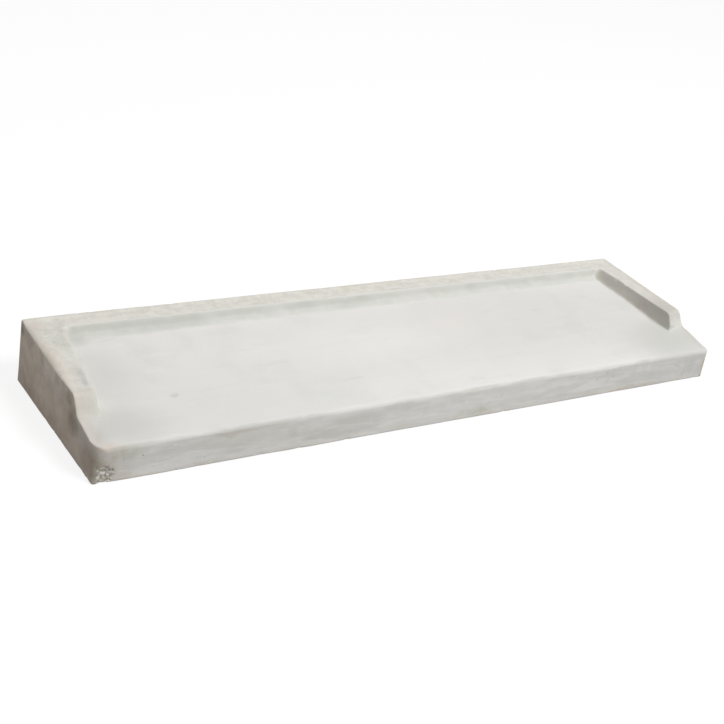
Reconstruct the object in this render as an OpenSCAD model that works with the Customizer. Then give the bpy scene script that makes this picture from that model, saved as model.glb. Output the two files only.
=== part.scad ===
// Concrete window sill, cast in one piece. A tray falls from the rear upstand to a
// rounded nose. The rear upstand has a coved foot. Each end has an upstand that narrows
// towards the nose and sweeps down to it in an ogee. A stopped drip groove runs under
// the nose.
//
// The origin is the bottom centre. +X runs along the sill, the nose faces -Y and the
// rear upstand is at +Y.

/* [Overall] */
// Length of the underside
sill_length = 1340; // [700:10:2400]
// Depth from the nose to the back
sill_depth = 350; // [280:5:450]
// Height of the back
back_height = 120; // [110:1:150]
// Height of the tray's front edge, before the nose is rounded
nose_height = 64; // [50:1:80]
// Draft of the end faces, in degrees
end_draft = 1.5; // [0:0.25:3]

/* [Rear upstand] */
// Width of the rear upstand's top
rear_top_width = 42; // [30:1:70]
// Height of the rear upstand above the foot of its cove
rear_rise = 20; // [14:1:35]
// Draft of the rear upstand's front face, in degrees
rear_draft = 12; // [0:1:30]
// Radius of the cove at its foot
cove_radius = 12; // [4:1:14]
// Fall of all the top faces towards the nose, in degrees
top_fall = 3; // [0:0.5:4]

/* [End upstands] */
// Width of an end upstand's top at the rear upstand
end_width_back = 59; // [40:1:90]
// Width of an end upstand's top at its shoulder
end_width_front = 37; // [20:1:50]
// Draft of an end upstand's inner face, in degrees
inner_draft = 9; // [0:1:30]
// Radius of the inner corner, where it meets the rear upstand
inner_corner_radius = 8; // [4:1:25]
// Distance from the nose to the toe of the ogee
toe_set_back = 85; // [60:1:120]
// Distance from the toe back to the shoulder of the ogee
ogee_run = 16; // [8:1:30]
// Height of the end's outer edge above the tray, at the toe
toe_rise = 7; // [2:0.5:12]
// Radius of the shoulder
shoulder_radius = 16; // [6:1:22]
// Radius of the toe
toe_radius = 18; // [6:1:24]

/* [Edges] */
// Radius of the nose's top edge
nose_radius = 10; // [4:1:14]
// Radius of the other long edges
arris_radius = 3; // [1:0.5:5]
// Radius in plan of the front corner at the -X end, at the top of the nose
left_corner_radius = 28; // [10:1:35]
// Radius in plan of the front corner at the +X end, at the top of the nose
right_corner_radius = 7; // [6:1:35]
// Radius in plan of both front corners, at the bottom
corner_radius_foot = 5; // [3:1:10]

/* [Drip groove] */
// Width of the half-round groove
groove_width = 14; // [8:1:20]
// Distance from the nose to the middle of the groove
groove_set_back = 30; // [22:1:50]
// Length left plain at each end
groove_stop = 60; // [40:5:120]

/* [Hidden] */

// Straight pieces in a rounded edge of 1 mm radius. The number grows with the root of
// the radius, so that every edge lies equally close to its true arc.
ARC_STEPS = 2.4;
// Flat strips around a front corner, and across an inner corner.
CORNER_STRIPS = 7;
// Side of the blocks that trim the casting, larger than the sill all round.
BLOCK = 3 * sill_length;
concrete_grey = [0.80, 0.79, 0.76];

// The corners of the side view, as [y, z]: the nose, the foot of the rear upstand and
// its front edge.
nose = [0, nose_height];
rear_edge = on_top(sill_depth - rear_top_width);
rear_foot = rear_edge - rear_rise * [tan(rear_draft), 1];
tray_slope = (rear_foot[1] - nose_height) / rear_foot[0];

// The ogee runs from the shoulder, on the top face, down to the toe. Its flank goes on
// to a foot below the tray.
shoulder = on_top(toe_set_back + ogee_run);
toe = [toe_set_back, tray_z(toe_set_back) + toe_rise];
flank_slope = (shoulder[1] - toe[1]) / ogee_run;
flank_foot = toe - 2 * toe_rise / (flank_slope - tray_slope) * [1, flank_slope];

// The inner edge of an end upstand's top, at the rear upstand and at the shoulder.
inner_back = [end_x(rear_edge[1]) + end_width_back, rear_edge[0], rear_edge[1]];
inner_front = [end_x(shoulder[1]) + end_width_front, shoulder[0], shoulder[1]];

// Directions square to the upstands' inner faces, pointing over the tray.
rear_square = [0, -cos(rear_draft), sin(rear_draft)];
inner_square = unit(cross([tan(inner_draft), 0, -1], inner_back - inner_front));

// The margin in front of the toe leans in, and meets the tray where the inner face does.
inner_foot_x = inner_front[0]
    - (inner_square * [0, toe[0] - inner_front[1], toe[1] - toe_rise - inner_front[2]])
    / inner_square[0];
margin_lean = atan(toe_rise / inner_foot_x);

function on_top(y) = [y, back_height - (sill_depth - y) * tan(top_fall)];
function tray_z(y) = nose_height + tray_slope * y;
function end_x(z) = z * tan(end_draft);
function unit(v) = v / norm(v);

// Points of the arc that rounds corner b, between its neighbours a and c.
function corner_arc(a, b, c, radius) =
    let (
        to_a = unit(a - b),
        to_c = unit(c - b),
        half = acos(to_a * to_c) / 2,
        reach = radius / tan(half),
        centre = b + unit(to_a + to_c) * radius / sin(half),
        first = b + to_a * reach - centre,
        last = b + to_c * reach - centre,
        start = atan2(first[1], first[0]),
        sweep = (atan2(last[1], last[0]) - start + 540) % 360 - 180,
        steps = ceil(ARC_STEPS * sqrt(radius))
    )
    [for (i = [0:steps])
        let (angle = start + sweep * i / steps)
        centre + radius * [cos(angle), sin(angle)]];

// An outline from corners given as [y, z, radius]; a radius of 0 leaves a sharp corner.
function rounded_outline(corners) =
    let (
        count = len(corners),
        points = [for (corner = corners) [corner[0], corner[1]]]
    )
    [for (i = [0:count - 1])
        each corners[i][2] > 0
            ? corner_arc(points[(i + count - 1) % count], points[i],
                         points[(i + 1) % count], corners[i][2])
            : [points[i]]];

// An arc whose last piece is twice as long, so that it goes well into what it meets.
function run_on(arc) =
    let (last = len(arc) - 1)
    [for (i = [0:last]) i < last ? arc[i] : 2 * arc[i] - arc[i - 1]];

// Extrudes an outline of the sill's side view along X.
module along_sill(outline, first_x, last_x) {
    translate([first_x, 0, 0])
        rotate([90, 0, 90])
            linear_extrude(last_x - first_x)
                polygon(outline);
}

// Everything beyond a flat face through a point, on the side that its square points to.
module beyond(point, square) {
    translate(point)
        rotate([0, acos(square[2]), atan2(square[1], square[0])])
            translate([-BLOCK / 2, -BLOCK / 2, 0])
                cube(BLOCK);
}

// Makes its children again at the far end of the sill.
module far_end() {
    translate([sill_length, 0, 0])
        mirror([1, 0, 0])
            children();
}

// The tray, from the nose up to the top of the cove. Its back is inside the upstand.
module tray() {
    cove = run_on(corner_arc(nose, rear_foot, rear_edge, cove_radius));
    hidden_back = sill_depth - rear_top_width / 2;
    along_sill(concat(
        corner_arc([hidden_back, 0], [0, 0], nose, arris_radius),
        corner_arc([0, 0], nose, rear_foot, nose_radius),
        cove,
        [[hidden_back, cove[len(cove) - 1][1]], [hidden_back, 0]]
    ), 0, sill_length);
}

// The rear upstand, and the ends down to the flanks of their ogees.
module upstands() {
    along_sill(rounded_outline([
        [flank_foot[0], 0, 0],
        [sill_depth, 0, arris_radius],
        [sill_depth, back_height, arris_radius],
        [shoulder[0], shoulder[1], shoulder_radius],
        [flank_foot[0], flank_foot[1], 0]
    ]), 0, sill_length);
}

// The low part of an end: the coved toe, and the margin that falls to the nose. It leans
// in, so that it dies into the tray, and its underside is inside the tray.
module end_margin() {
    upright = cos(margin_lean);
    middle = (shoulder + toe) / 2;
    underside = nose_height / 2;
    rotate([0, margin_lean, 0])
        along_sill(rounded_outline([
            [0, underside, 0],
            [middle[0] + ogee_run, underside, 0],
            [middle[0] + ogee_run, middle[1] * upright, 0],
            [middle[0], middle[1] * upright, 0],
            [toe[0], toe[1] * upright, toe_radius],
            [0, nose_height * upright, nose_radius]
        ]), -nose_height, inner_foot_x + nose_height);
}

// The room inside the end upstand at x = 0, with flat strips that round its corner with
// the rear upstand.
module room_at_end() {
    between = acos(inner_square * rear_square);
    to_axis = (inner_square + rear_square) / (1 + inner_square * rear_square);
    intersection_for (i = [0:CORNER_STRIPS - 1]) {
        turn = between * i / CORNER_STRIPS;
        square = (sin(between - turn) * inner_square + sin(turn) * rear_square)
                 / sin(between);
        beyond(inner_back + inner_corner_radius * (to_axis - square), square);
    }
}

// The room over the tray: in front of the rear upstand, with the rounded front edge of
// its top, and between the end upstands.
module room() {
    edge = run_on(corner_arc(rear_foot, rear_edge, on_top(sill_depth), arris_radius));
    intersection() {
        along_sill(concat(
            [rear_foot + 2 * (rear_foot - rear_edge)],
            edge,
            [[edge[len(edge) - 1][0], BLOCK], [-BLOCK, BLOCK], [-BLOCK, -BLOCK], [0, -BLOCK]]
        ), 0, sill_length);
        room_at_end();
        far_end() room_at_end();
    }
}

// What is trimmed off the end at x = 0: the outside of its drafted face, and then flat
// strips that round the front corner, with a radius that grows from the foot upwards.
module end_trim(corner_radius) {
    growth = (corner_radius - corner_radius_foot) / nose_height;
    for (i = [0:CORNER_STRIPS - 1]) {
        turn = i * 90 / CORNER_STRIPS;
        bulge = cos(turn) + sin(turn) - 1;
        rotate([0, 0, turn])
            translate([corner_radius_foot * bulge, 0, 0])
                rotate([0, atan(growth * bulge + tan(end_draft) * cos(turn)), 0])
                    translate([-BLOCK, -BLOCK / 2, -BLOCK / 2])
                        cube(BLOCK);
    }
}

// The half-round groove under the nose, with round ends.
module drip_groove() {
    groove_radius = groove_width / 2;
    first = groove_stop + groove_radius;
    last = sill_length - first;
    translate([first, groove_set_back, 0])
        rotate([0, 90, 0])
            cylinder(h = last - first, r = groove_radius, $fn = 48);
    for (x = [first, last])
        translate([x, groove_set_back, 0])
            sphere(r = groove_radius, $fn = 48);
}

module sill() {
    color(concrete_grey)
        translate([-sill_length / 2, -sill_depth / 2, 0])
            difference() {
                union() {
                    tray();
                    difference() {
                        union() {
                            upstands();
                            end_margin();
                            far_end() end_margin();
                        }
                        room();
                    }
                }
                end_trim(left_corner_radius);
                far_end() end_trim(right_corner_radius);
                drip_groove();
            }
}

sill();
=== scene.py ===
import math
import random

import bmesh
import bpy
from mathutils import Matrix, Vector, noise
from mathutils.kdtree import KDTree


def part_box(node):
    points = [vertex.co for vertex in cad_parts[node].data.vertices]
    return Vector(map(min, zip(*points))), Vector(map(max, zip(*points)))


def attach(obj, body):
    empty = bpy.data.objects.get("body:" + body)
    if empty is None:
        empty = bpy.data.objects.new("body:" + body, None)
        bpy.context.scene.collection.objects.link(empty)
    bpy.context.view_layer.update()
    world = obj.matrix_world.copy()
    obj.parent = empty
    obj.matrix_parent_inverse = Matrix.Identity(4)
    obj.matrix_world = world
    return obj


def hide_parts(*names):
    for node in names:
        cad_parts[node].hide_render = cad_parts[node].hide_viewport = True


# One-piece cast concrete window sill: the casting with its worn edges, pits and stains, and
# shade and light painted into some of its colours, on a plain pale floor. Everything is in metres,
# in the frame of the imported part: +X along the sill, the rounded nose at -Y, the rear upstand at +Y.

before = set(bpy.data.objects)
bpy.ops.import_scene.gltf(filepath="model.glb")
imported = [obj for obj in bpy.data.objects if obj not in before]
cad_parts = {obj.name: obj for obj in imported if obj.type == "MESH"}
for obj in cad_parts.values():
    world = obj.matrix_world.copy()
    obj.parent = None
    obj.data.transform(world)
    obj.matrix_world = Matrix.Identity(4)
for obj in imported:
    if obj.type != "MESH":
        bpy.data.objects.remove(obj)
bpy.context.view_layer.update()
LOW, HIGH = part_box("sill")

# ---- sizes of the casting that its finish follows ----------------------------------

REAR_TOP_WIDTH = 0.042
REAR_RISE = 0.020
REAR_DRAFT = math.radians(12)
TOP_FALL = math.radians(3)
NOSE_HEIGHT = 0.064
ARRIS_RADIUS = 0.003
END_WIDTH_BACK = 0.059
END_WIDTH_FRONT = 0.037
TOE_SET_BACK = 0.085
OGEE_RUN = 0.016
GROOVE_SET_BACK = 0.030

# How far the outer edge of the -X upstand's top has slumped, and how wide a strip of it.
SLUMP = 0.011
SLUMP_WIDTH = 0.024
# How far the +X upstand's inner top edge leans out at the rear, and how far its shoulder is
# drawn forwards on the inside.
LEAN = 0.009
SHOULDER_DRAW = 0.006

# How round the edges are, how far the casting has shrunk, and how far the mould wavers.
EDGE_ROUNDING = 0.0022
SHRINKAGE = 0.0006
MOULD_WAVER = 0.0026

# How sharply an edge turns, in radians for each metre of width, if it is an arris.
ARRIS_CURVATURE = 220

# Pitch of the fine grid of cuts, and of the coarse one on the back and underside. The
# outermost cuts keep clear of the rounded edges and the nose by these margins.
FINE_PITCH = 0.0035
COARSE_PITCH = 3 * FINE_PITCH
EDGE_MARGIN = 0.0045
END_MARGIN = 0.004
NOSE_MARGIN = 0.012

REAR_EDGE_Y = HIGH.y - REAR_TOP_WIDTH
TOE_Y = LOW.y + TOE_SET_BACK
SHOULDER_Y = TOE_Y + OGEE_RUN


def top_height(y):
    """Height of the upstands' sloping tops."""
    return HIGH.z - (HIGH.y - y) * math.tan(TOP_FALL)


REAR_FOOT_Y = REAR_EDGE_Y - REAR_RISE * math.tan(REAR_DRAFT)
REAR_FOOT_Z = top_height(REAR_EDGE_Y) - REAR_RISE
TRAY_SLOPE = (REAR_FOOT_Z - NOSE_HEIGHT) / (REAR_FOOT_Y - LOW.y)


def tray_height(y):
    """Height of the tray, which falls to the nose."""
    return NOSE_HEIGHT + (y - LOW.y) * TRAY_SLOPE


def inner_edge_x(y):
    """Distance from the middle to the inner top edge of an end upstand."""
    back = HIGH.x - END_WIDTH_BACK - ARRIS_RADIUS
    front = HIGH.x - END_WIDTH_FRONT - ARRIS_RADIUS
    return front + (back - front) * (y - SHOULDER_Y) / (REAR_EDGE_Y - SHOULDER_Y)


def fade(value, start, end):
    """0 before start and 1 after end, with a smooth turn between. Start may be the larger."""
    t = min(1.0, max(0.0, (value - start) / (end - start)))
    return t * t * (3 - 2 * t)


# ---- working on a piece by hand ----------------------------------------------------


def take_up(piece):
    """Makes piece the only selected object, and the active one."""
    bpy.ops.object.select_all(action="DESELECT")
    piece.select_set(True)
    bpy.context.view_layer.objects.active = piece


def start_shaping(piece):
    """Opens piece in edit mode with nothing selected."""
    take_up(piece)
    bpy.ops.object.mode_set(mode="EDIT")
    bpy.ops.mesh.select_mode(type="FACE")
    bpy.ops.mesh.select_all(action="DESELECT")


def stop_shaping():
    """Deselects everything and leaves edit mode."""
    bpy.ops.mesh.select_all(action="DESELECT")
    bpy.ops.object.mode_set(mode="OBJECT")


def select_faces(piece, wanted):
    """In edit mode, selects the shown faces for which wanted(middle, normal) holds."""
    bpy.ops.mesh.select_mode(type="FACE")
    bpy.ops.mesh.select_all(action="DESELECT")
    shape = bmesh.from_edit_mesh(piece.data)
    for face in shape.faces:
        if not face.hide and wanted(face.calc_center_median(), face.normal):
            face.select_set(True)
    bmesh.update_edit_mesh(piece.data, loop_triangles=False, destructive=False)


def select_corners(piece, wanted):
    """In edit mode, selects the shown corners for which wanted(place, normal) holds."""
    bpy.ops.mesh.select_mode(type="VERT")
    bpy.ops.mesh.select_all(action="DESELECT")
    shape = bmesh.from_edit_mesh(piece.data)
    for corner in shape.verts:
        if not corner.hide and wanted(corner.co, corner.normal):
            corner.select_set(True)
    shape.select_flush(True)
    bmesh.update_edit_mesh(piece.data, loop_triangles=False, destructive=False)


def steps_between(start, end, pitch):
    """Even places between start and end, no further apart than pitch."""
    count = math.ceil((end - start) / pitch)
    return [start + (end - start) * i / count for i in range(count + 1)]


def saw(direction, places):
    """In edit mode, cuts all that shows at these places along a direction."""
    for place in places:
        bpy.ops.mesh.select_all(action="SELECT")
        bpy.ops.mesh.bisect(
            plane_co=direction * place,
            plane_no=direction,
            threshold=0.0004,
        )


def weigh(piece, name, share):
    """A vertex group whose weights are share(place, normal)."""
    group = piece.vertex_groups.new(name=name)
    for corner in piece.data.vertices:
        weight = share(corner.co, corner.normal)
        if weight > 0.002:
            group.add([corner.index], min(1.0, weight), "REPLACE")


def cloud(name, size, depth):
    """A pattern of soft lumps of one size, with finer ones on them for each further depth."""
    pattern = bpy.data.textures.new(name, "CLOUDS")
    pattern.noise_scale = size
    pattern.noise_depth = depth
    pattern.noise_basis = "IMPROVED_PERLIN"
    return pattern


def press(piece, pattern, depth, group="", direction="NORMAL", rest=1.0, guide=None):
    """Presses a pattern into the surface. With rest 1 it only goes inwards."""
    relief = piece.modifiers.new(pattern.name, "DISPLACE")
    relief.texture = pattern
    relief.strength = depth
    relief.mid_level = rest
    relief.direction = direction
    relief.vertex_group = group
    if guide:
        relief.texture_coords = "OBJECT"
        relief.texture_coords_object = guide
    else:
        relief.texture_coords = "LOCAL"
    take_up(piece)
    bpy.ops.object.modifier_apply(modifier=relief.name)


def shift(piece, group, direction, distance):
    """Moves a group of corners along one axis."""
    moved = piece.modifiers.new("shift", "DISPLACE")
    moved.direction = direction
    moved.strength = distance
    moved.mid_level = 0.0
    moved.vertex_group = group
    take_up(piece)
    bpy.ops.object.modifier_apply(modifier=moved.name)


def rub(piece, group, strokes):
    """Wears a group of corners round."""
    worn = piece.modifiers.new("rub", "SMOOTH")
    worn.factor = 0.5
    worn.iterations = strokes
    worn.vertex_group = group
    take_up(piece)
    bpy.ops.object.modifier_apply(modifier=worn.name)


# ---- the casting -------------------------------------------------------------------


def rough_casting():
    """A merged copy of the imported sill, with its flat faces whole again."""
    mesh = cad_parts["sill"].data.copy()
    mesh.materials.clear()
    casting = bpy.data.objects.new("sill_casting", mesh)
    bpy.context.scene.collection.objects.link(casting)
    take_up(casting)
    bpy.ops.mesh.customdata_custom_splitnormals_clear()
    start_shaping(casting)
    bpy.ops.mesh.select_all(action="SELECT")
    bpy.ops.mesh.remove_doubles(threshold=0.00002)
    bpy.ops.mesh.dissolve_limited(angle_limit=math.radians(0.3))
    stop_shaping()
    return casting


def by_groove(place):
    """Whether a place is in or beside the drip groove."""
    return place.z < 0.009 and abs(place.y - LOW.y - GROOVE_SET_BACK) < 0.009


def ease_sharp_edges(casting):
    """Takes the sharp edges off: the mould's corners are never quite sharp."""
    start_shaping(casting)
    bpy.ops.mesh.select_mode(type="EDGE")
    shape = bmesh.from_edit_mesh(casting.data)
    for edge in shape.edges:
        turn = edge.calc_face_angle_signed(0.0)
        edge.select_set(turn > math.radians(40) and not by_groove(edge.verts[0].co))
    bmesh.update_edit_mesh(casting.data, loop_triangles=False, destructive=False)
    bpy.ops.mesh.bevel(offset=EDGE_ROUNDING, segments=3, profile=0.5, clamp_overlap=False)
    stop_shaping()


def lay_out_grid(casting):
    """Cuts the faces into a grid: fine where the sill shows, coarse behind and below."""
    runs = (
        (Vector((1, 0, 0)), LOW.x + END_MARGIN, HIGH.x - END_MARGIN),
        (Vector((0, 1, 0)), LOW.y + NOSE_MARGIN, HIGH.y - EDGE_MARGIN),
        (Vector((0, 0, 1)), LOW.z + EDGE_MARGIN, HIGH.z - EDGE_MARGIN),
    )

    def cut(pitch, hidden):
        """Cuts what isn't hidden at this pitch, along each axis in turn."""
        for direction, start, end in runs:
            bpy.ops.mesh.reveal(select=False)
            select_faces(
                casting,
                lambda middle, normal: abs(normal.dot(direction)) > 0.6
                or hidden(middle, normal),
            )
            bpy.ops.mesh.hide(unselected=False)
            saw(direction, steps_between(start, end, pitch))
        bpy.ops.mesh.reveal(select=False)

    start_shaping(casting)
    cut(COARSE_PITCH, lambda middle, normal: False)
    cut(FINE_PITCH, lambda middle, normal: normal.z < -0.8 or normal.y > 0.8)
    bpy.ops.mesh.select_all(action="SELECT")
    bpy.ops.mesh.remove_doubles(threshold=0.00006)
    bpy.ops.mesh.dissolve_degenerate(threshold=0.00005)
    stop_shaping()


def note(casting, name, share):
    """Keeps share(place, normal) of every corner, for the concrete's colours."""
    values = [share(corner.co, corner.normal) for corner in casting.data.vertices]
    kept = casting.data.attributes.new(name, "FLOAT", "POINT")
    kept.data.foreach_set("value", values)


def arris_finder(casting):
    """Returns a function that gives the distance to the nearest sharp outward edge."""
    shape = bmesh.new()
    shape.from_mesh(casting.data)
    corners = set()
    for edge in shape.edges:
        if edge.calc_length() < 0.0001 or by_groove(edge.verts[0].co):
            continue
        width = sum(face.calc_area() for face in edge.link_faces) / 2 / edge.calc_length()
        sharpness = edge.calc_face_angle_signed(0.0) / max(width, 0.0001)
        if sharpness > ARRIS_CURVATURE:
            corners.update(tuple(corner.co) for corner in edge.verts)
    shape.free()
    tree = KDTree(len(corners))
    for index, place in enumerate(sorted(corners)):
        tree.insert(place, index)
    tree.balance()
    return lambda place: tree.find(place)[2]


def over_tray(place):
    """How far a place is inside the end upstands, and whether it is low like the tray."""
    inside = fade(inner_edge_x(place.y) - abs(place.x), -0.004, 0.014)
    low = 1 - fade(place.z - tray_height(place.y), 0.004, 0.012)
    return inside, low


def cove_share(place, normal):
    """The rear upstand's face and the hollow at its foot."""
    inside, _ = over_tray(place)
    front = fade(place.y, REAR_FOOT_Y - 0.018, REAR_FOOT_Y - 0.006)
    back = 1 - fade(place.y, REAR_EDGE_Y - 0.001, REAR_EDGE_Y + 0.010)
    high = 1 - 0.6 * fade(place.z, REAR_FOOT_Z + 0.006, top_height(REAR_EDGE_Y))
    above = fade(place.z, tray_height(place.y) - 0.012, tray_height(place.y) - 0.006)
    return inside * front * back * high * above


def rear_face_share(place, normal):
    """The rear upstand's face from its edge to its foot: a green-grey of dampness, and painted darker
    as shade.
    """
    inside, _ = over_tray(place)
    front = fade(place.y, REAR_FOOT_Y - 0.014, REAR_FOOT_Y - 0.001)
    back = 1 - fade(place.y, REAR_EDGE_Y - 0.001, REAR_EDGE_Y + 0.003)
    above = fade(place.z, tray_height(place.y) - 0.012, tray_height(place.y) - 0.006)
    return inside * front * back * above


def crest_share(place, normal):
    """The strip of the rear upstand's top along its front edge, painted paler as a highlight."""
    inside, _ = over_tray(place)
    front = fade(place.y, REAR_EDGE_Y - 0.002, REAR_EDGE_Y + 0.003)
    back = 1 - fade(place.y, REAR_EDGE_Y + 0.010, REAR_EDGE_Y + 0.022)
    return inside * front * back * fade(normal.z, 0.3, 0.7)


def foot_share(place, normal):
    """The tray along the foot of the rear upstand, painted a little darker as shade in the crease."""
    inside, low = over_tray(place)
    return inside * low * fade(place.y, REAR_FOOT_Y - 0.026, REAR_FOOT_Y)


def upstand_top_share(place, normal):
    """The tops of the upstands, fading out down the ogee."""
    above = fade(place.z - tray_height(place.y), 0.006, 0.012)
    level = fade(normal.z, 0.8, 0.97)
    on_ogee = fade(normal.z, 0.2, 0.5) * (1 - fade(place.y, SHOULDER_Y, SHOULDER_Y + 0.01))
    return above * max(level, on_ogee * fade(place.y, TOE_Y - 0.01, SHOULDER_Y))


def inner_shade_share(place, normal):
    """The inner faces of the end upstands, painted darker as shade, more at the +X end."""
    towards_middle = -normal.x if place.x > 0 else normal.x
    share = fade(towards_middle, 0.30, 0.75) * (1 - fade(abs(place.x), HIGH.x - 0.02, HIGH.x))
    return share * (1.0 if place.x > 0 else 0.9)


def front_share(place, normal):
    """The moulded front, below the nose."""
    return fade(-normal.y, 0.25, 0.8) * (1 - fade(place.y, LOW.y + 0.01, LOW.y + 0.03))


def corner_share(place, normal):
    """The front face beside the -X end, painted darker and browner as shade where the rounded corner
    turns from the light.
    """
    return front_share(place, normal) * (1 - fade(place.x, LOW.x + 0.012, LOW.x + 0.075))


def end_share(place, normal):
    """The two end faces."""
    return fade(abs(normal.x), 0.45, 0.85) * fade(abs(place.x), HIGH.x - 0.02, HIGH.x - 0.01)


def outer_edge_share(place):
    """Near the sill's outer edges, which are the ones that get rubbed."""
    ends = fade(abs(place.x), HIGH.x - 0.022, HIGH.x - 0.012)
    return max(ends, fade(abs(place.y), HIGH.y - 0.022, HIGH.y - 0.012))


def inner_foot_share(place, normal):
    """The hollow where an end upstand's inner face meets the tray."""
    across = abs(abs(place.x) - inner_edge_x(place.y) + 0.004)
    up = place.z - tray_height(place.y)
    near = (1 - fade(across, 0.007, 0.014)) * (1 - fade(up, 0.007, 0.014))
    return near * fade(up, -0.010, -0.005) * fade(place.y, TOE_Y - 0.010, SHOULDER_Y)


def end_outline(y):
    """Height of the ends' outline: the upstand's top, the ogee and the low front."""
    low = tray_height(y)
    return low + (top_height(y) - low) * fade(y, TOE_Y, SHOULDER_Y)


def under_edge_share(place, normal):
    """The ends just under their outline, which are painted darker."""
    depth = end_outline(place.y) - place.z
    return end_share(place, normal) * (1 - fade(depth, 0.008, 0.034))


def slumped_share(place, normal):
    """The outer strip of the -X upstand's top, most at its edge, and the end below it."""
    across = 1 - min(1.0, (place.x - LOW.x) / SLUMP_WIDTH)
    down = fade(place.z, top_height(place.y) - 0.050, top_height(place.y) - 0.003)
    along = fade(place.y, SHOULDER_Y - 0.004, SHOULDER_Y + 0.090)
    corner = 1 - 0.85 * fade(place.y, HIGH.y - 0.030, HIGH.y - 0.004)
    return across**2.5 * down * along * corner


def by_inner_edge(place, level, outside, inside):
    """1 from the +X upstand's inner top edge to level past it, 0 at outside past and inside before."""
    past_edge = place.x - inner_edge_x(place.y)
    if past_edge > 0:
        return 1 - fade(past_edge, level, outside)
    return 1 - fade(-past_edge, 0, inside)


def leaning_share(place, normal):
    """The +X upstand's inner face, most at its top edge and towards the rear."""
    across = by_inner_edge(place, 0.004, 0.050, 0.060)
    along = fade(place.y, -0.085, 0.105) * (1 - fade(place.y, REAR_EDGE_Y, HIGH.y))
    up = fade(place.z, tray_height(place.y) + 0.001, top_height(place.y) + 0.002)
    return up * across * along


def drawn_share(place, normal):
    """The inner side of the +X upstand's ogee and shoulder."""
    across = by_inner_edge(place, 0.003, 0.024, 0.020)
    along = fade(place.y, TOE_Y - 0.016, TOE_Y - 0.004)
    along *= 1 - fade(place.y, SHOULDER_Y + 0.020, SHOULDER_Y + 0.055)
    up = fade(place.z, tray_height(place.y) + 0.001, tray_height(place.y) + 0.012)
    return up * across * along


def broken_share(place, normal):
    """The crumbled patch low on the front, beside the -X end."""
    across = (place.x - LOW.x - 0.0215) / 0.0145
    up = (place.z - 0.016) / 0.0185
    away = math.hypot(across, up)
    away += 0.45 * (noise.noise(place * 160) + 0.6 * noise.noise(place * 420))
    near = 1 - fade(place.y, LOW.y + 0.010, LOW.y + 0.018)
    return near * (1 - fade(away, 0.72, 1.02))


def crumble(casting):
    """Breaks up the low front corner at the -X end, where the mix did not fill the mould."""
    start_shaping(casting)
    select_faces(
        casting,
        lambda middle, normal: middle.x < LOW.x + 0.044
        and middle.y < LOW.y + 0.014
        and middle.z < 0.040
        and normal.z > -0.5,
    )
    bpy.ops.mesh.subdivide(number_cuts=2)
    stop_shaping()
    weigh(casting, "broken", broken_share)
    lumps = bpy.data.textures.new("loose_lumps", "VORONOI")
    lumps.noise_scale = 0.0058
    press(casting, lumps, 0.0034, "broken")
    press(casting, cloud("loose_grit", 0.0030, 1), 0.0010, "broken")
    rub(casting, "broken", 2)


def mark_out(casting):
    """Keeps the shares of the casting that its colours and its wear go by."""
    to_arris = arris_finder(casting)

    def faces_only(place):
        """All faces but not near an arris or the groove."""
        return fade(to_arris(place), 0.001, 0.012) * (not by_groove(place))

    def moulded(place, normal):
        """The faces that lay against the mould."""
        return faces_only(place) * (1 - fade(normal.z, 0.5, 0.9))

    def floated(place, normal):
        """The faces that lay open and were floated."""
        return faces_only(place) * fade(normal.z, 0.7, 0.95)

    def rough_top(place, normal):
        """The tops of the upstands, but not near an arris."""
        return upstand_top_share(place, normal) * faces_only(place)

    def rubbed(place, normal):
        """The arrises, worn in patches."""
        patchy = fade(noise.noise(place * 38) + 0.5 * noise.noise(place * 90), -0.35, 0.45)
        return (1 - fade(to_arris(place), 0.0025, 0.007)) * (0.2 + 0.8 * patchy)

    def softened(place, normal):
        """The arrises of the -X upstand, and half as much the rear one's front edge."""
        left = 1 - fade(place.x, LOW.x + 0.075, LOW.x + 0.095)
        left *= 1 - fade(place.y, HIGH.y - 0.020, HIGH.y - 0.008)
        rear = 0.5 * (1 - fade(abs(place.y - REAR_EDGE_Y), 0.008, 0.014))
        above = fade(place.z - tray_height(place.y), 0.001, 0.006)
        return max(left, rear) * above * (1 - fade(to_arris(place), 0.004, 0.013))

    def chipped(place, normal):
        """Small bites along the arrises."""
        bites = noise.noise(place * 75) + 0.6 * noise.noise(place * 170)
        return (1 - fade(to_arris(place), 0.001, 0.0045)) * fade(bites, 0.42, 0.62)

    def near_outer_arris(place, normal):
        """Beside the arrises along the sill's outer edges."""
        return outer_edge_share(place) * (1 - fade(to_arris(place), 0.001, 0.011))

    for name, share in (
        ("near_arris", near_outer_arris),
        ("on_front", front_share),
        ("on_end", end_share),
        ("on_top", upstand_top_share),
        ("on_cove", rear_face_share),
        ("on_crest", crest_share),
        ("on_foot", foot_share),
        ("inner_shade", inner_shade_share),
        ("on_corner", corner_share),
        ("under_edge", under_edge_share),
    ):
        note(casting, name, share)
    for name, share in (
        ("cove", cove_share),
        ("top", rough_top),
        ("moulded", moulded),
        ("floated", floated),
        ("rubbed", rubbed),
        ("softened", softened),
        ("slumped", slumped_share),
        ("leaning", leaning_share),
        ("drawn", drawn_share),
        ("inner_foot", inner_foot_share),
        ("chipped", chipped),
    ):
        weigh(casting, name, share)


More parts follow.
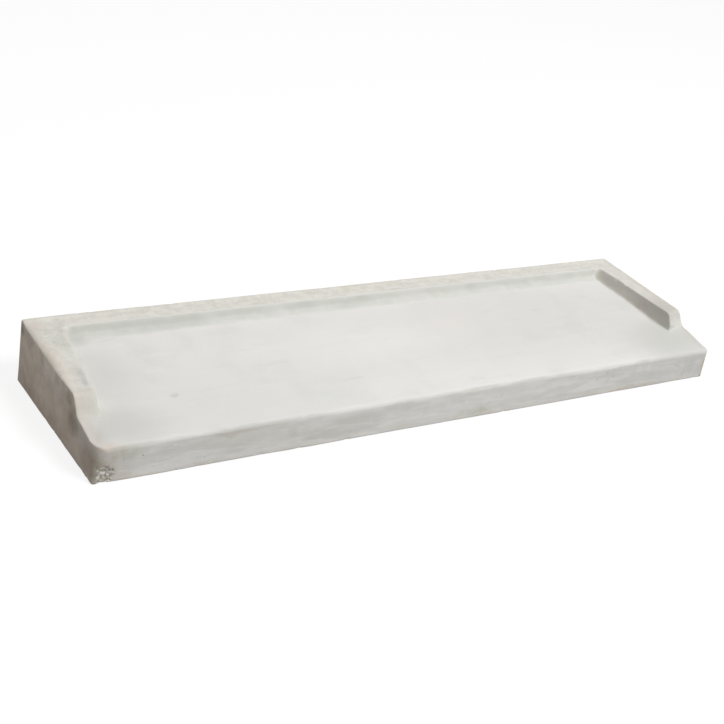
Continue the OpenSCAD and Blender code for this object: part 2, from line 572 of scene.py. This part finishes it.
def weather(casting):
    """Gives the clean casting its uneven shape, the float's marks and worn edges."""
    float_guide = bpy.data.objects.new("float_guide", None)
    bpy.context.scene.collection.objects.link(float_guide)
    float_guide.scale = (7, 1, 1)
    float_guide.rotation_euler = (0, 0, math.radians(4))
    bpy.context.view_layer.update()

    shift(casting, "slumped", "Z", -SLUMP)
    shift(casting, "leaning", "X", LEAN)
    shift(casting, "drawn", "Y", -SHOULDER_DRAW)
    press(casting, cloud("cove_waver", 0.055, 2), 0.0120, "cove", "Y", rest=0.5)
    press(casting, cloud("cove_lumps", 0.020, 2), 0.0030, "cove", "Z", rest=0.5)
    press(casting, cloud("mould_unevenness", 0.045, 2), 0.0011, "moulded")
    press(casting, cloud("tray_unevenness", 0.075, 1), 0.0014, "floated")
    press(casting, cloud("float_marks", 0.019, 1), 0.0008, "floated", guide=float_guide)
    press(casting, cloud("rough_top", 0.014, 2), 0.0012, "top")
    press(casting, cloud("chips", 0.009, 1), 0.0022, "chipped")
    rub(casting, "rubbed", 8)
    rub(casting, "softened", 30)
    rub(casting, "inner_foot", 24)
    shrink(casting, SHRINKAGE)
    warp = cloud("mould_waver", 0.16, 1)
    warp.cloud_type = "COLOR"
    press(casting, warp, MOULD_WAVER, direction="RGB_TO_XYZ", rest=0.5)
    bpy.data.objects.remove(float_guide)


def shrink(casting, gap):
    """Draws the casting in from the mould by gap on every side, as concrete does in curing."""
    start_shaping(casting)
    bpy.ops.mesh.select_all(action="SELECT")
    keep = [1 - 2 * gap / (HIGH[axis] - LOW[axis]) for axis in range(3)]
    bpy.ops.transform.resize(value=keep, center_override=(LOW + HIGH) / 2)
    stop_shaping()


def trim_to_mould(casting):
    """Flattens whatever stands past the mould's own faces, on all six sides."""
    start_shaping(casting)
    for axis in range(3):
        for limit, outside in ((LOW[axis], -1), (HIGH[axis], 1)):
            select_corners(
                casting, lambda place, normal: (place[axis] - limit) * outside > 0.00001
            )
            centre = [0.0, 0.0, 0.0]
            centre[axis] = limit
            keep = [1.0, 1.0, 1.0]
            keep[axis] = 0.0
            bpy.ops.transform.resize(value=keep, center_override=centre)
    stop_shaping()


def blow_holes(casting, count, seed, rim, depth, where):
    """Small round-bottomed holes left by trapped air, in count of the faces that where picks."""
    chance = random.Random(seed)
    start_shaping(casting)
    shape = bmesh.from_edit_mesh(casting.data)
    shape.faces.ensure_lookup_table()
    fit = [
        face.index
        for face in shape.faces
        if len(face.verts) == 4
        and min(edge.calc_length() for edge in face.edges) > 2.4 * rim
        and where(face.calc_center_median(), face.normal)
    ]
    chosen = chance.sample(fit, min(count, len(fit)))
    taken = set()
    for index in chosen:
        face = shape.faces[index]
        corners = {corner.index for corner in face.verts}
        if not corners & taken:
            face.select_set(True)
            beside = {other for corner in face.verts for other in corner.link_faces}
            taken.update(corner.index for other in beside for corner in other.verts)
    bmesh.update_edit_mesh(casting.data, loop_triangles=False, destructive=False)
    bpy.ops.mesh.inset(thickness=rim, depth=0, use_individual=True)
    bpy.ops.transform.vertex_random(offset=rim * 0.25, uniform=0.6, normal=0, seed=seed)
    bpy.ops.mesh.inset(thickness=rim * 0.16, depth=-depth * 0.65, use_individual=True)
    shape = bmesh.from_edit_mesh(casting.data)
    hole = shape.verts.layers.float["in_hole"]
    for corner in shape.verts:
        if corner.select:
            corner[hole] = 1.0
    bmesh.update_edit_mesh(casting.data, loop_triangles=False, destructive=False)
    bpy.ops.mesh.inset(thickness=rim * 0.22, depth=-depth * 0.35, use_individual=True)
    stop_shaping()


def pit(casting):
    """Air holes: few and small on the trowelled tray, more on the moulded faces."""
    note(casting, "in_hole", lambda place, normal: 0.0)

    def on_tray(place, normal):
        inside, low = over_tray(place)
        return inside * low > 0.9 and normal.z > 0.9 and place.y < REAR_FOOT_Y - 0.02

    def on_top(place, normal):
        return upstand_top_share(place, normal) > 0.9

    def on_front(place, normal):
        return normal.y < -0.95 and place.y < LOW.y + 0.01 and 0.006 < place.z < 0.052

    def on_end(place, normal):
        return abs(normal.x) > 0.95 and abs(place.x) > HIGH.x - 0.008

    def on_back(place, normal):
        return normal.y > 0.95

    def on_underside(place, normal):
        return normal.z < -0.95

    # How many, the seed they are drawn with, the rim left round each, its depth and where.
    for count, seed, rim, depth, where in (
        (16, 3, 0.0012, 0.0008, on_tray),
        (36, 5, 0.0011, 0.0010, on_top),
        (30, 7, 0.0011, 0.0011, on_front),
        (6, 11, 0.0007, 0.0016, on_front),
        (30, 13, 0.0011, 0.0012, on_end),
        (8, 17, 0.0007, 0.0018, on_end),
        (70, 19, 0.0040, 0.0016, on_back),
        (90, 23, 0.0040, 0.0016, on_underside),
        (30, 29, 0.0032, 0.0028, on_underside),
    ):
        blow_holes(casting, count, seed, rim, depth, where)


# ---- the concrete ------------------------------------------------------------------


class Nodes:
    """The nodes of a material or a world, joined up one after another."""

    def __init__(self, owner):
        owner.use_nodes = True
        self.tree = owner.node_tree
        self.tree.nodes.clear()

    def add(self, kind, settings=None, **inputs):
        """A new node with its settings, and its inputs by name with _ for a space."""
        made = self.tree.nodes.new(kind)
        for name, value in (settings or {}).items():
            setattr(made, name, value)
        for name, value in inputs.items():
            self.feed(made.inputs[name.replace("_", " ")], value)
        return made

    def feed(self, socket, value):
        """Joins an output to a socket, or sets the socket's own value."""
        if isinstance(value, bpy.types.NodeSocket):
            self.tree.links.new(value, socket)
        else:
            socket.default_value = value

    def calculate(self, kind, first, second):
        """A sum of one kind on two values, each a number or an output."""
        made = self.add("ShaderNodeMath", {"operation": kind})
        self.feed(made.inputs[0], first)
        self.feed(made.inputs[1], second)
        return made.outputs["Value"]

    def times(self, first, second):
        return self.calculate("MULTIPLY", first, second)

    def plus(self, first, second):
        return self.calculate("ADD", first, second)

    def vector(self, kind, first, second=None):
        """A node for a sum of one kind on one place or two."""
        made = self.add("ShaderNodeVectorMath", {"operation": kind})
        self.feed(made.inputs[0], first)
        if second is not None:
            self.feed(made.inputs[1], second)
        return made

    def seen_straight(self):
        """1 for what is seen straight, in a gloss or through glass, and 0 for bounced light."""
        rays = self.add("ShaderNodeLightPath").outputs
        straight = self.plus(rays["Is Camera Ray"], rays["Is Glossy Ray"])
        return self.plus(straight, rays["Is Transmission Ray"])

    def choose(self, share, first, second):
        """The first shader where share is 0, and the second where it is 1."""
        made = self.add("ShaderNodeMixShader", Fac=share)
        self.feed(made.inputs[1], first)
        self.feed(made.inputs[2], second)
        return made.outputs["Shader"]


class Finish(Nodes):
    """A material and its patterns."""

    def __init__(self, name):
        self.material = bpy.data.materials.new(name)
        super().__init__(self.material)
        self.places = self.add("ShaderNodeTexCoord").outputs["Object"]
        self.frayed = self.places

    def stretched(self, scale, turn):
        """The places with each axis scaled, for patterns that run one way."""
        mapping = self.add(
            "ShaderNodeMapping", Vector=self.places, Scale=scale, Rotation=(0, 0, turn)
        )
        return mapping.outputs["Vector"]

    def noise(self, scale, detail, roughness=0.55, distortion=0.0, places=None):
        """Soft noise, finer as scale grows, and rougher with more detail."""
        made = self.add(
            "ShaderNodeTexNoise",
            Vector=places or self.places,
            Scale=scale,
            Detail=detail,
            Roughness=roughness,
            Distortion=distortion,
        )
        return made.outputs["Fac"]

    def kept(self, name):
        """A share that was kept on the casting's corners."""
        return self.add("ShaderNodeAttribute", {"attribute_name": name}).outputs["Fac"]

    def between(self, value, start, end, low=0.0, high=1.0):
        """Turns a value's start to end into low to high, with soft turns."""
        made = self.add(
            "ShaderNodeMapRange",
            {"interpolation_type": "SMOOTHSTEP"},
            Value=value,
            From_Min=start,
            From_Max=end,
            To_Min=low,
            To_Max=high,
        )
        return made.outputs["Result"]

    def blend(self, share, first, second):
        """The first colour where share is 0, and the second where it is 1."""
        made = self.add("ShaderNodeMix", {"data_type": "RGBA"})
        self.feed(made.inputs["Factor"], share)
        self.feed(made.inputs["A"], first)
        self.feed(made.inputs["B"], second)
        return made.outputs["Result"]

    def spot(self, centre, size, edge, turn):
        """A soft-edged patch about a place: 1 in its middle, 0 outside size."""
        mapping = self.add(
            "ShaderNodeMapping",
            {"vector_type": "TEXTURE"},
            Vector=self.frayed,
            Location=centre,
            Rotation=(0, 0, turn),
            Scale=size,
        )
        length = self.vector("LENGTH", mapping.outputs["Vector"])
        return self.between(length.outputs["Value"], 1.0, edge)

    def fray(self, scale, amount):
        """Pushes the places that spots go by about with noise, for ragged edges."""
        push = self.add("ShaderNodeTexNoise", Vector=self.places, Scale=scale, Detail=3.0)
        centred = self.vector("SUBTRACT", push.outputs["Color"], (0.5, 0.5, 0.5))
        scaled = self.vector("SCALE", centred.outputs["Vector"])
        self.feed(scaled.inputs["Scale"], amount)
        moved = self.vector("ADD", scaled.outputs["Vector"], self.places)
        self.frayed = moved.outputs["Vector"]


def tone(red, green, blue):
    """A colour, in linear light."""
    return (red, green, blue, 1.0)


def cast_concrete():
    """Pale cast concrete: smooth trowelled tray, mottled moulded faces, soiled ends, and painted light
    and shade.
    """
    mix = Finish("cast_concrete")
    mix.fray(26.0, 0.022)
    long_places = mix.stretched((1.0, 6.5, 6.5), math.radians(3))
    clouds_wide = mix.noise(3.2, 3.0)
    clouds = mix.noise(13.0, 4.0, 0.6)
    mottle = mix.noise(52.0, 4.0, 0.62)
    grain = mix.noise(170.0, 3.0, 0.6)
    grit = mix.noise(620.0, 2.0, 0.6)
    streaks = mix.noise(9.0, 5.0, 0.65, 0.4, long_places)

    colour = tray_colour(mix, clouds_wide, clouds, streaks)
    colour = mix.blend(mix.kept("on_top"), colour, top_colour(mix, clouds, mottle, grain))
    # The inner faces of the end upstands are painted darker as shade.
    colour = mix.blend(mix.kept("inner_shade"), colour, tone(0.655, 0.615, 0.548))
    colour = mix.blend(mix.kept("on_front"), colour, front_colour(mix, clouds, streaks, mottle))
    # The ends: soiled, and partly painted darker as shade.
    colour = mix.blend(mix.kept("on_end"), colour, end_colour(mix, clouds, mottle))
    colour = stains_and_painted_shade(mix, colour, clouds, mottle)

    # Worn arrises show the warmer sand.
    rubbed = mix.times(mix.kept("near_arris"), mix.between(clouds, 0.42, 0.66, 0.05, 0.60))
    colour = mix.blend(rubbed, colour, tone(0.70, 0.640, 0.570))

    broken = mix.between(mix.kept("is_broken"), 0.10, 0.55, 0.0, 0.75)
    colour = mix.blend(broken, colour, broken_colour(mix, grain))

    # Holes are painted darker as shade inside them, and grit speckles everything.
    colour = mix.blend(mix.times(mix.kept("in_hole"), 0.5), colour, tone(0.30, 0.28, 0.24))
    colour = mix.blend(
        mix.between(grit, 0.60, 0.74, 0.0, 0.25), colour, tone(0.50, 0.48, 0.44)
    )

    unevenness = mix.plus(mix.times(mottle, 0.5), mix.times(clouds, 0.5))
    height = mix.plus(mix.times(grit, 0.35), mix.times(mottle, 0.65))
    bump = mix.add("ShaderNodeBump", Strength=0.5, Distance=0.0006, Height=height)
    shader = mix.add(
        "ShaderNodeBsdfPrincipled",
        Base_Color=colour,
        Roughness=mix.between(unevenness, 0.3, 0.7, 0.74, 0.93),
        Specular_IOR_Level=0.35,
        Normal=bump.outputs["Normal"],
    )
    mix.add("ShaderNodeOutputMaterial", Surface=shader.outputs["BSDF"])
    return mix.material


def tray_colour(mix, clouds_wide, clouds, streaks):
    """The trowelled tray: very pale, with faint clouds and trowel streaks."""
    colour = mix.blend(
        mix.between(clouds_wide, 0.32, 0.68),
        tone(0.790, 0.785, 0.757),
        tone(0.850, 0.834, 0.803),
    )
    colour = mix.blend(
        mix.between(clouds, 0.50, 0.30, 0.0, 0.30), colour, tone(0.70, 0.705, 0.67)
    )
    colour = mix.blend(
        mix.between(streaks, 0.40, 0.28, 0.0, 0.35), colour, tone(0.66, 0.665, 0.640)
    )
    return mix.blend(
        mix.between(streaks, 0.58, 0.72, 0.0, 0.4), colour, tone(0.87, 0.86, 0.84)
    )


def top_colour(mix, clouds, mottle, grain):
    """The tops of the upstands: rougher, speckled, and a little yellow, with a painted highlight along
    the rear upstand's front edge.
    """
    colour = mix.blend(
        mix.between(mottle, 0.35, 0.65), tone(0.715, 0.694, 0.628), tone(0.815, 0.796, 0.730)
    )
    colour = mix.blend(
        mix.between(grain, 0.44, 0.34, 0.0, 0.40), colour, tone(0.59, 0.588, 0.535)
    )
    colour = mix.blend(
        mix.between(grain, 0.58, 0.68, 0.0, 0.40), colour, tone(0.86, 0.845, 0.79)
    )
    # A paler strip along the rear upstand's front edge: a painted highlight.
    crest_highlight = mix.times(mix.kept("on_crest"), mix.between(clouds, 0.38, 0.58, 0.15, 0.75))
    colour = mix.blend(crest_highlight, colour, tone(0.890, 0.870, 0.800))
    return mix.blend(
        mix.between(clouds, 0.52, 0.70, 0.0, 0.45), colour, tone(0.78, 0.715, 0.635)
    )


def front_colour(mix, clouds, streaks, mottle):
    """The moulded front: mottled grey in level streaks, painted darker and browner as shade at the
    rounded -X corner.
    """
    colour = mix.blend(
        mix.between(streaks, 0.34, 0.66), tone(0.645, 0.637, 0.598), tone(0.785, 0.770, 0.738)
    )
    colour = mix.blend(
        mix.between(clouds, 0.54, 0.72, 0.0, 0.6), colour, tone(0.56, 0.545, 0.480)
    )
    colour = mix.blend(
        mix.between(mottle, 0.58, 0.70, 0.0, 0.45), colour, tone(0.80, 0.80, 0.785)
    )
    # Darker and browner beside the -X end: painted shade where the rounded corner turns from the
    # light.
    corner_shade = mix.times(mix.kept("on_corner"), mix.between(mottle, 0.30, 0.62, 0.45, 1.0))
    return mix.blend(corner_shade, colour, tone(0.475, 0.425, 0.365))


def end_colour(mix, clouds, mottle):
    """The ends: cloudy taupe with paler patches, soiled and partly painted darker as shade."""
    colour = mix.blend(
        mix.between(clouds, 0.34, 0.66), tone(0.560, 0.470, 0.385), tone(0.73, 0.625, 0.525)
    )
    colour = mix.blend(
        mix.between(mottle, 0.50, 0.74, 0.0, 0.5), colour, tone(0.80, 0.73, 0.64)
    )
    darker_under_outline = mix.times(mix.kept("under_edge"), mix.between(clouds, 0.30, 0.60, 0.55, 0.30))
    return mix.blend(darker_under_outline, colour, tone(0.36, 0.30, 0.25))


def broken_colour(mix, grain):
    """The crumbled patch: a few pale stones in dark crumbs, their darkness painted shade in the
    hollow.
    """
    stones = mix.add("ShaderNodeTexVoronoi", Vector=mix.frayed, Scale=170.0)
    # The crumbs are painted dark, as shade in the hollow.
    crumbs = mix.blend(
        mix.between(grain, 0.40, 0.60), tone(0.25, 0.245, 0.195), tone(0.44, 0.43, 0.365)
    )
    return mix.blend(
        mix.between(stones.outputs["Color"], 0.52, 0.64), crumbs, tone(0.76, 0.75, 0.70)
    )


def stains_and_painted_shade(mix, colour, clouds, mottle):
    """The marks this sill has, dampness along the rear foot, smeared marks, rust and darker patches on
    the -X end, and the light and shade painted over the tray, the rear upstand's face and foot, the +X
    inner face, the -X front corner and the -X outer edge.
    """
    patchy = mix.between(mottle, 0.32, 0.62, 0.45, 1.0)
    # The rear upstand's face: a green-grey of dampness, and painted shade.
    damp_and_shade = mix.times(mix.kept("on_cove"), mix.between(clouds, 0.30, 0.62, 0.58, 0.90))
    colour = mix.blend(damp_and_shade, colour, tone(0.590, 0.600, 0.555))
    # The tray along the rear foot: painted shade in the crease.
    foot_shade = mix.times(mix.kept("on_foot"), mix.between(clouds, 0.32, 0.62, 0.0, 0.12))
    colour = mix.blend(foot_shade, colour, tone(0.66, 0.665, 0.620))

    bluish, green, grey = tone(0.50, 0.53, 0.53), tone(0.58, 0.61, 0.52), tone(0.60, 0.60, 0.565)
    dark_taupe = tone(0.33, 0.265, 0.215)
    # Each mark: its centre, its size, its turn in degrees, its strength and its colour.
    washes = (
        # Painted shade: greyer in the tray's -X front corner and beside the -X upstand.
        ((-0.625, -0.130, 0.070), (0.150, 0.080, 0.05), 0, 0.66, grey),
        ((-0.600, 0.010, 0.088), (0.110, 0.170, 0.05), 0, 0.50, grey),
        # Painted shade: darker in its -X rear corner, and along the -X half of the rear foot.
        ((-0.596, 0.118, 0.098), (0.040, 0.026, 0.03), 0, 0.50, tone(0.52, 0.53, 0.49)),
        ((-0.480, 0.128, 0.100), (0.240, 0.020, 0.03), 0, 0.24, tone(0.50, 0.51, 0.47)),
        # Painted shade: greyer over its +X half, most in the +X front corner.
        ((0.450, 0.000, 0.090), (0.620, 0.260, 0.10), 0, 0.38, tone(0.62, 0.62, 0.590)),
        ((0.620, -0.120, 0.070), (0.210, 0.120, 0.04), 0, 0.72, grey),
        # Painted shade: the +X upstand's top is greyer towards the front.
        ((0.640, -0.070, 0.106), (0.050, 0.100, 0.03), 0, 0.72, tone(0.52, 0.51, 0.465)),
        # Painted light: paler and warmer in the middle of the tray.
        ((-0.080, 0.010, 0.086), (0.340, 0.120, 0.06), 0, 0.42, tone(0.93, 0.912, 0.878)),
        ((0.150, 0.040, 0.090), (0.220, 0.120, 0.06), 0, 0.34, tone(0.88, 0.825, 0.790)),
        # Painted shade: greyer along the -X upstand's inner edge.
        ((-0.614, 0.025, 0.098), (0.010, 0.130, 0.03), -7, 0.45, grey),
        # Duller beige down the ogee and along the low part of the -X end's edge.
        ((-0.656, -0.085, 0.085), (0.040, 0.050, 0.05), 0, 0.60, tone(0.58, 0.525, 0.465)),
        ((-0.660, -0.140, 0.070), (0.034, 0.050, 0.03), 0, 0.60, tone(0.58, 0.525, 0.465)),
    )
    for centre, size, turn, strength, shade in washes:
        share = mix.spot(centre, size, 0.1, math.radians(turn))
        colour = mix.blend(mix.times(share, strength), colour, shade)
    smears_and_painted_shade = (
        # A bluish dark smear on the -X upstand's inner edge, in two strokes, and green below.
        ((-0.634, -0.012, 0.106), (0.007, 0.016, 0.05), -8, 0.45, bluish),
        ((-0.636, -0.040, 0.104), (0.008, 0.018, 0.05), 6, 0.52, bluish),
        ((-0.630, -0.082, 0.078), (0.022, 0.026, 0.05), 0, 0.42, green),
        # Pale and grey-green mottle on the -X upstand, and beige along its outer edge, paler there
        # partly as a painted highlight.
        ((-0.628, 0.040, 0.110), (0.020, 0.040, 0.03), 0, 0.60, tone(0.87, 0.86, 0.80)),
        ((-0.630, 0.090, 0.114), (0.018, 0.036, 0.03), 0, 0.35, tone(0.57, 0.58, 0.505)),
        ((-0.662, 0.030, 0.108), (0.022, 0.140, 0.05), 0, 0.90, tone(0.900, 0.808, 0.718)),
        ((-0.640, -0.170, 0.066), (0.036, 0.012, 0.012), 0, 0.75, tone(0.70, 0.610, 0.535)),
        # The +X upstand's inner face is redder low in the middle, and painted darker behind and in
        # front as shade.
        ((0.632, 0.005, 0.092), (0.016, 0.045, 0.012), 0, 0.80, tone(0.62, 0.480, 0.405)),
        ((0.612, 0.080, 0.106), (0.020, 0.070, 0.016), 0, 0.40, tone(0.42, 0.42, 0.38)),
        ((0.640, -0.060, 0.086), (0.016, 0.035, 0.020), 0, 0.35, tone(0.40, 0.40, 0.37)),
        # A small mark on the tray.
        ((-0.490, -0.064, 0.076), (0.010, 0.008, 0.02), 0, 0.65, tone(0.50, 0.50, 0.47)),
        # A pinkish rear corner at the -X end.
        ((-0.650, 0.150, 0.118), (0.026, 0.020, 0.02), 0, 0.75, tone(0.78, 0.680, 0.620)),
        # On the front: a dark smear and a brown one under the top edge, a wide dull patch,
        # and low down a green blotch and a reddish line.
        ((-0.610, -0.175, 0.048), (0.048, 0.03, 0.016), 0, 0.60, tone(0.52, 0.500, 0.420)),
        ((-0.430, -0.175, 0.050), (0.060, 0.03, 0.007), 0, 0.55, tone(0.52, 0.465, 0.385)),
        ((-0.340, -0.175, 0.036), (0.190, 0.03, 0.030), 0, 0.42, tone(0.62, 0.600, 0.535)),
        ((0.075, -0.175, 0.012), (0.070, 0.03, 0.012), 0, 0.60, tone(0.50, 0.505, 0.400)),
        ((0.480, -0.175, 0.004), (0.130, 0.03, 0.006), 0, 0.40, tone(0.56, 0.440, 0.360)),
        # Paler patches on the front, low and in the middle, and a greyer +X end.
        ((-0.490, -0.175, 0.014), (0.130, 0.03, 0.008), 0, 0.65, tone(0.80, 0.80, 0.785)),
        ((0.080, -0.175, 0.036), (0.300, 0.03, 0.030), 0, 0.50, tone(0.86, 0.85, 0.825)),
        ((0.600, -0.175, 0.030), (0.160, 0.03, 0.050), 0, 0.50, tone(0.61, 0.60, 0.580)),
        # Painted shade: the dark low corner at the -X end, where the rounded corner turns from the
        # light.
        ((-0.668, -0.175, 0.028), (0.024, 0.03, 0.045), 0, 0.75, tone(0.32, 0.295, 0.240)),
        # A brown line up the corner at the +X end, with a rust spot at its foot.
        ((0.668, -0.172, 0.035), (0.009, 0.02, 0.050), 0, 0.90, tone(0.55, 0.455, 0.350)),
        ((0.662, -0.174, 0.004), (0.007, 0.02, 0.006), 0, 0.85, tone(0.40, 0.22, 0.15)),
        ((0.668, -0.120, 0.074), (0.009, 0.064, 0.02), 0, 0.85, tone(0.64, 0.570, 0.460)),
        # A beige line along the +X upstand's outer edge.
        ((0.665, 0.040, 0.114), (0.010, 0.150, 0.03), 0, 0.70, tone(0.74, 0.685, 0.580)),
        # Paler patches on the back half of the -X end.
        ((-0.670, 0.075, 0.040), (0.03, 0.080, 0.042), 0, 0.65, tone(0.84, 0.735, 0.630)),
        ((-0.670, 0.120, 0.082), (0.03, 0.050, 0.030), 0, 0.45, tone(0.84, 0.735, 0.630)),
        # Darker on the -X end: below the ogee, low in front and up behind.
        ((-0.670, -0.080, 0.062), (0.03, 0.034, 0.034), 0, 0.85, dark_taupe),
        ((-0.670, -0.058, 0.090), (0.03, 0.020, 0.014), 0, 0.70, dark_taupe),
        ((-0.670, -0.148, 0.034), (0.03, 0.045, 0.036), 0, 0.75, tone(0.34, 0.285, 0.230)),
        ((-0.670, 0.168, 0.106), (0.03, 0.014, 0.016), 0, 0.85, tone(0.24, 0.205, 0.170)),
    )
    for centre, size, turn, strength, shade in smears_and_painted_shade:
        share = mix.times(mix.spot(centre, size, 0.2, math.radians(turn)), patchy)
        colour = mix.blend(mix.times(share, strength), colour, shade)
    return colour


# ---- the studio --------------------------------------------------------------------


def floor_finish():
    """White to the eye, with the sill's shadow. Its bounced light is that of a grey floor."""
    paper = Finish("studio_paper")
    seen = paper.add("ShaderNodeBsdfDiffuse", Color=tone(0.20, 0.20, 0.20))
    lift = paper.add("ShaderNodeEmission", Color=tone(1, 1, 1), Strength=0.85)
    both = paper.add("ShaderNodeAddShader")
    paper.feed(both.inputs[0], seen.outputs["BSDF"])
    paper.feed(both.inputs[1], lift.outputs["Emission"])
    bounced = paper.add("ShaderNodeBsdfDiffuse", Color=tone(0.42, 0.42, 0.42))
    surface = paper.choose(paper.seen_straight(), bounced.outputs["BSDF"], both.outputs["Shader"])
    paper.add("ShaderNodeOutputMaterial", Surface=surface)
    return paper.material


def lay_floor():
    """A plain floor under the sill, far wider than the view."""
    bpy.ops.object.select_all(action="DESELECT")
    bpy.ops.mesh.primitive_plane_add(size=30, location=(0, 0, LOW.z))
    floor = bpy.context.object
    floor.name = "studio_floor"
    floor.data.materials.append(floor_finish())


def light_world():
    """Even soft light from all round, and white where the eye sees it."""
    world = bpy.data.worlds.new("studio_world")
    bpy.context.scene.world = world
    sky = Nodes(world)
    soft = sky.add("ShaderNodeBackground", Color=tone(1, 1, 1), Strength=0.34)
    white = sky.add("ShaderNodeBackground", Color=tone(1, 1, 1), Strength=1.0)
    surface = sky.choose(
        sky.seen_straight(), soft.outputs["Background"], white.outputs["Background"]
    )
    sky.add("ShaderNodeOutputWorld", Surface=surface)


def hang_lamp(name, place, width, power):
    """A square soft lamp, facing the sill's middle."""
    lamp = bpy.data.lights.new(name, "AREA")
    lamp.size = width
    lamp.energy = power
    hung = bpy.data.objects.new(name, lamp)
    hung.location = place
    hung.rotation_euler = (Vector((0, 0, 0)) - Vector(place)).to_track_quat("-Z", "Y").to_euler()
    bpy.context.scene.collection.objects.link(hung)


def place_camera():
    """The view: from the -X end's side of the front, looking down."""
    camera = bpy.data.objects.new("camera", bpy.data.cameras.new("camera"))
    camera.data.lens = 64.354
    camera.data.sensor_width = 36
    camera.location = (-1.35141, -1.74275, 1.12083)
    camera.rotation_euler = (math.radians(63.1997), math.radians(-8.931), math.radians(-31.7686))
    bpy.context.scene.collection.objects.link(camera)
    bpy.context.scene.camera = camera


# ---- making it all -----------------------------------------------------------------


def make_casting():
    """The whole sill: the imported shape, then its wear, its holes and its colours."""
    casting = rough_casting()
    ease_sharp_edges(casting)
    lay_out_grid(casting)
    mark_out(casting)
    weather(casting)
    crumble(casting)
    note(casting, "is_broken", broken_share)
    pit(casting)
    trim_to_mould(casting)
    take_up(casting)
    bpy.ops.object.shade_smooth_by_angle(angle=math.radians(38))
    casting.vertex_groups.clear()
    casting.data.materials.append(cast_concrete())
    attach(casting, "root")
    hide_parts("sill")


place_camera()
lay_floor()
light_world()
hang_lamp("key_lamp", place=(2.3, -3.9, 6.0), width=2.6, power=400)
make_casting()
bpy.context.scene.view_settings.view_transform = "Standard"

bpy.context.view_layer.update()
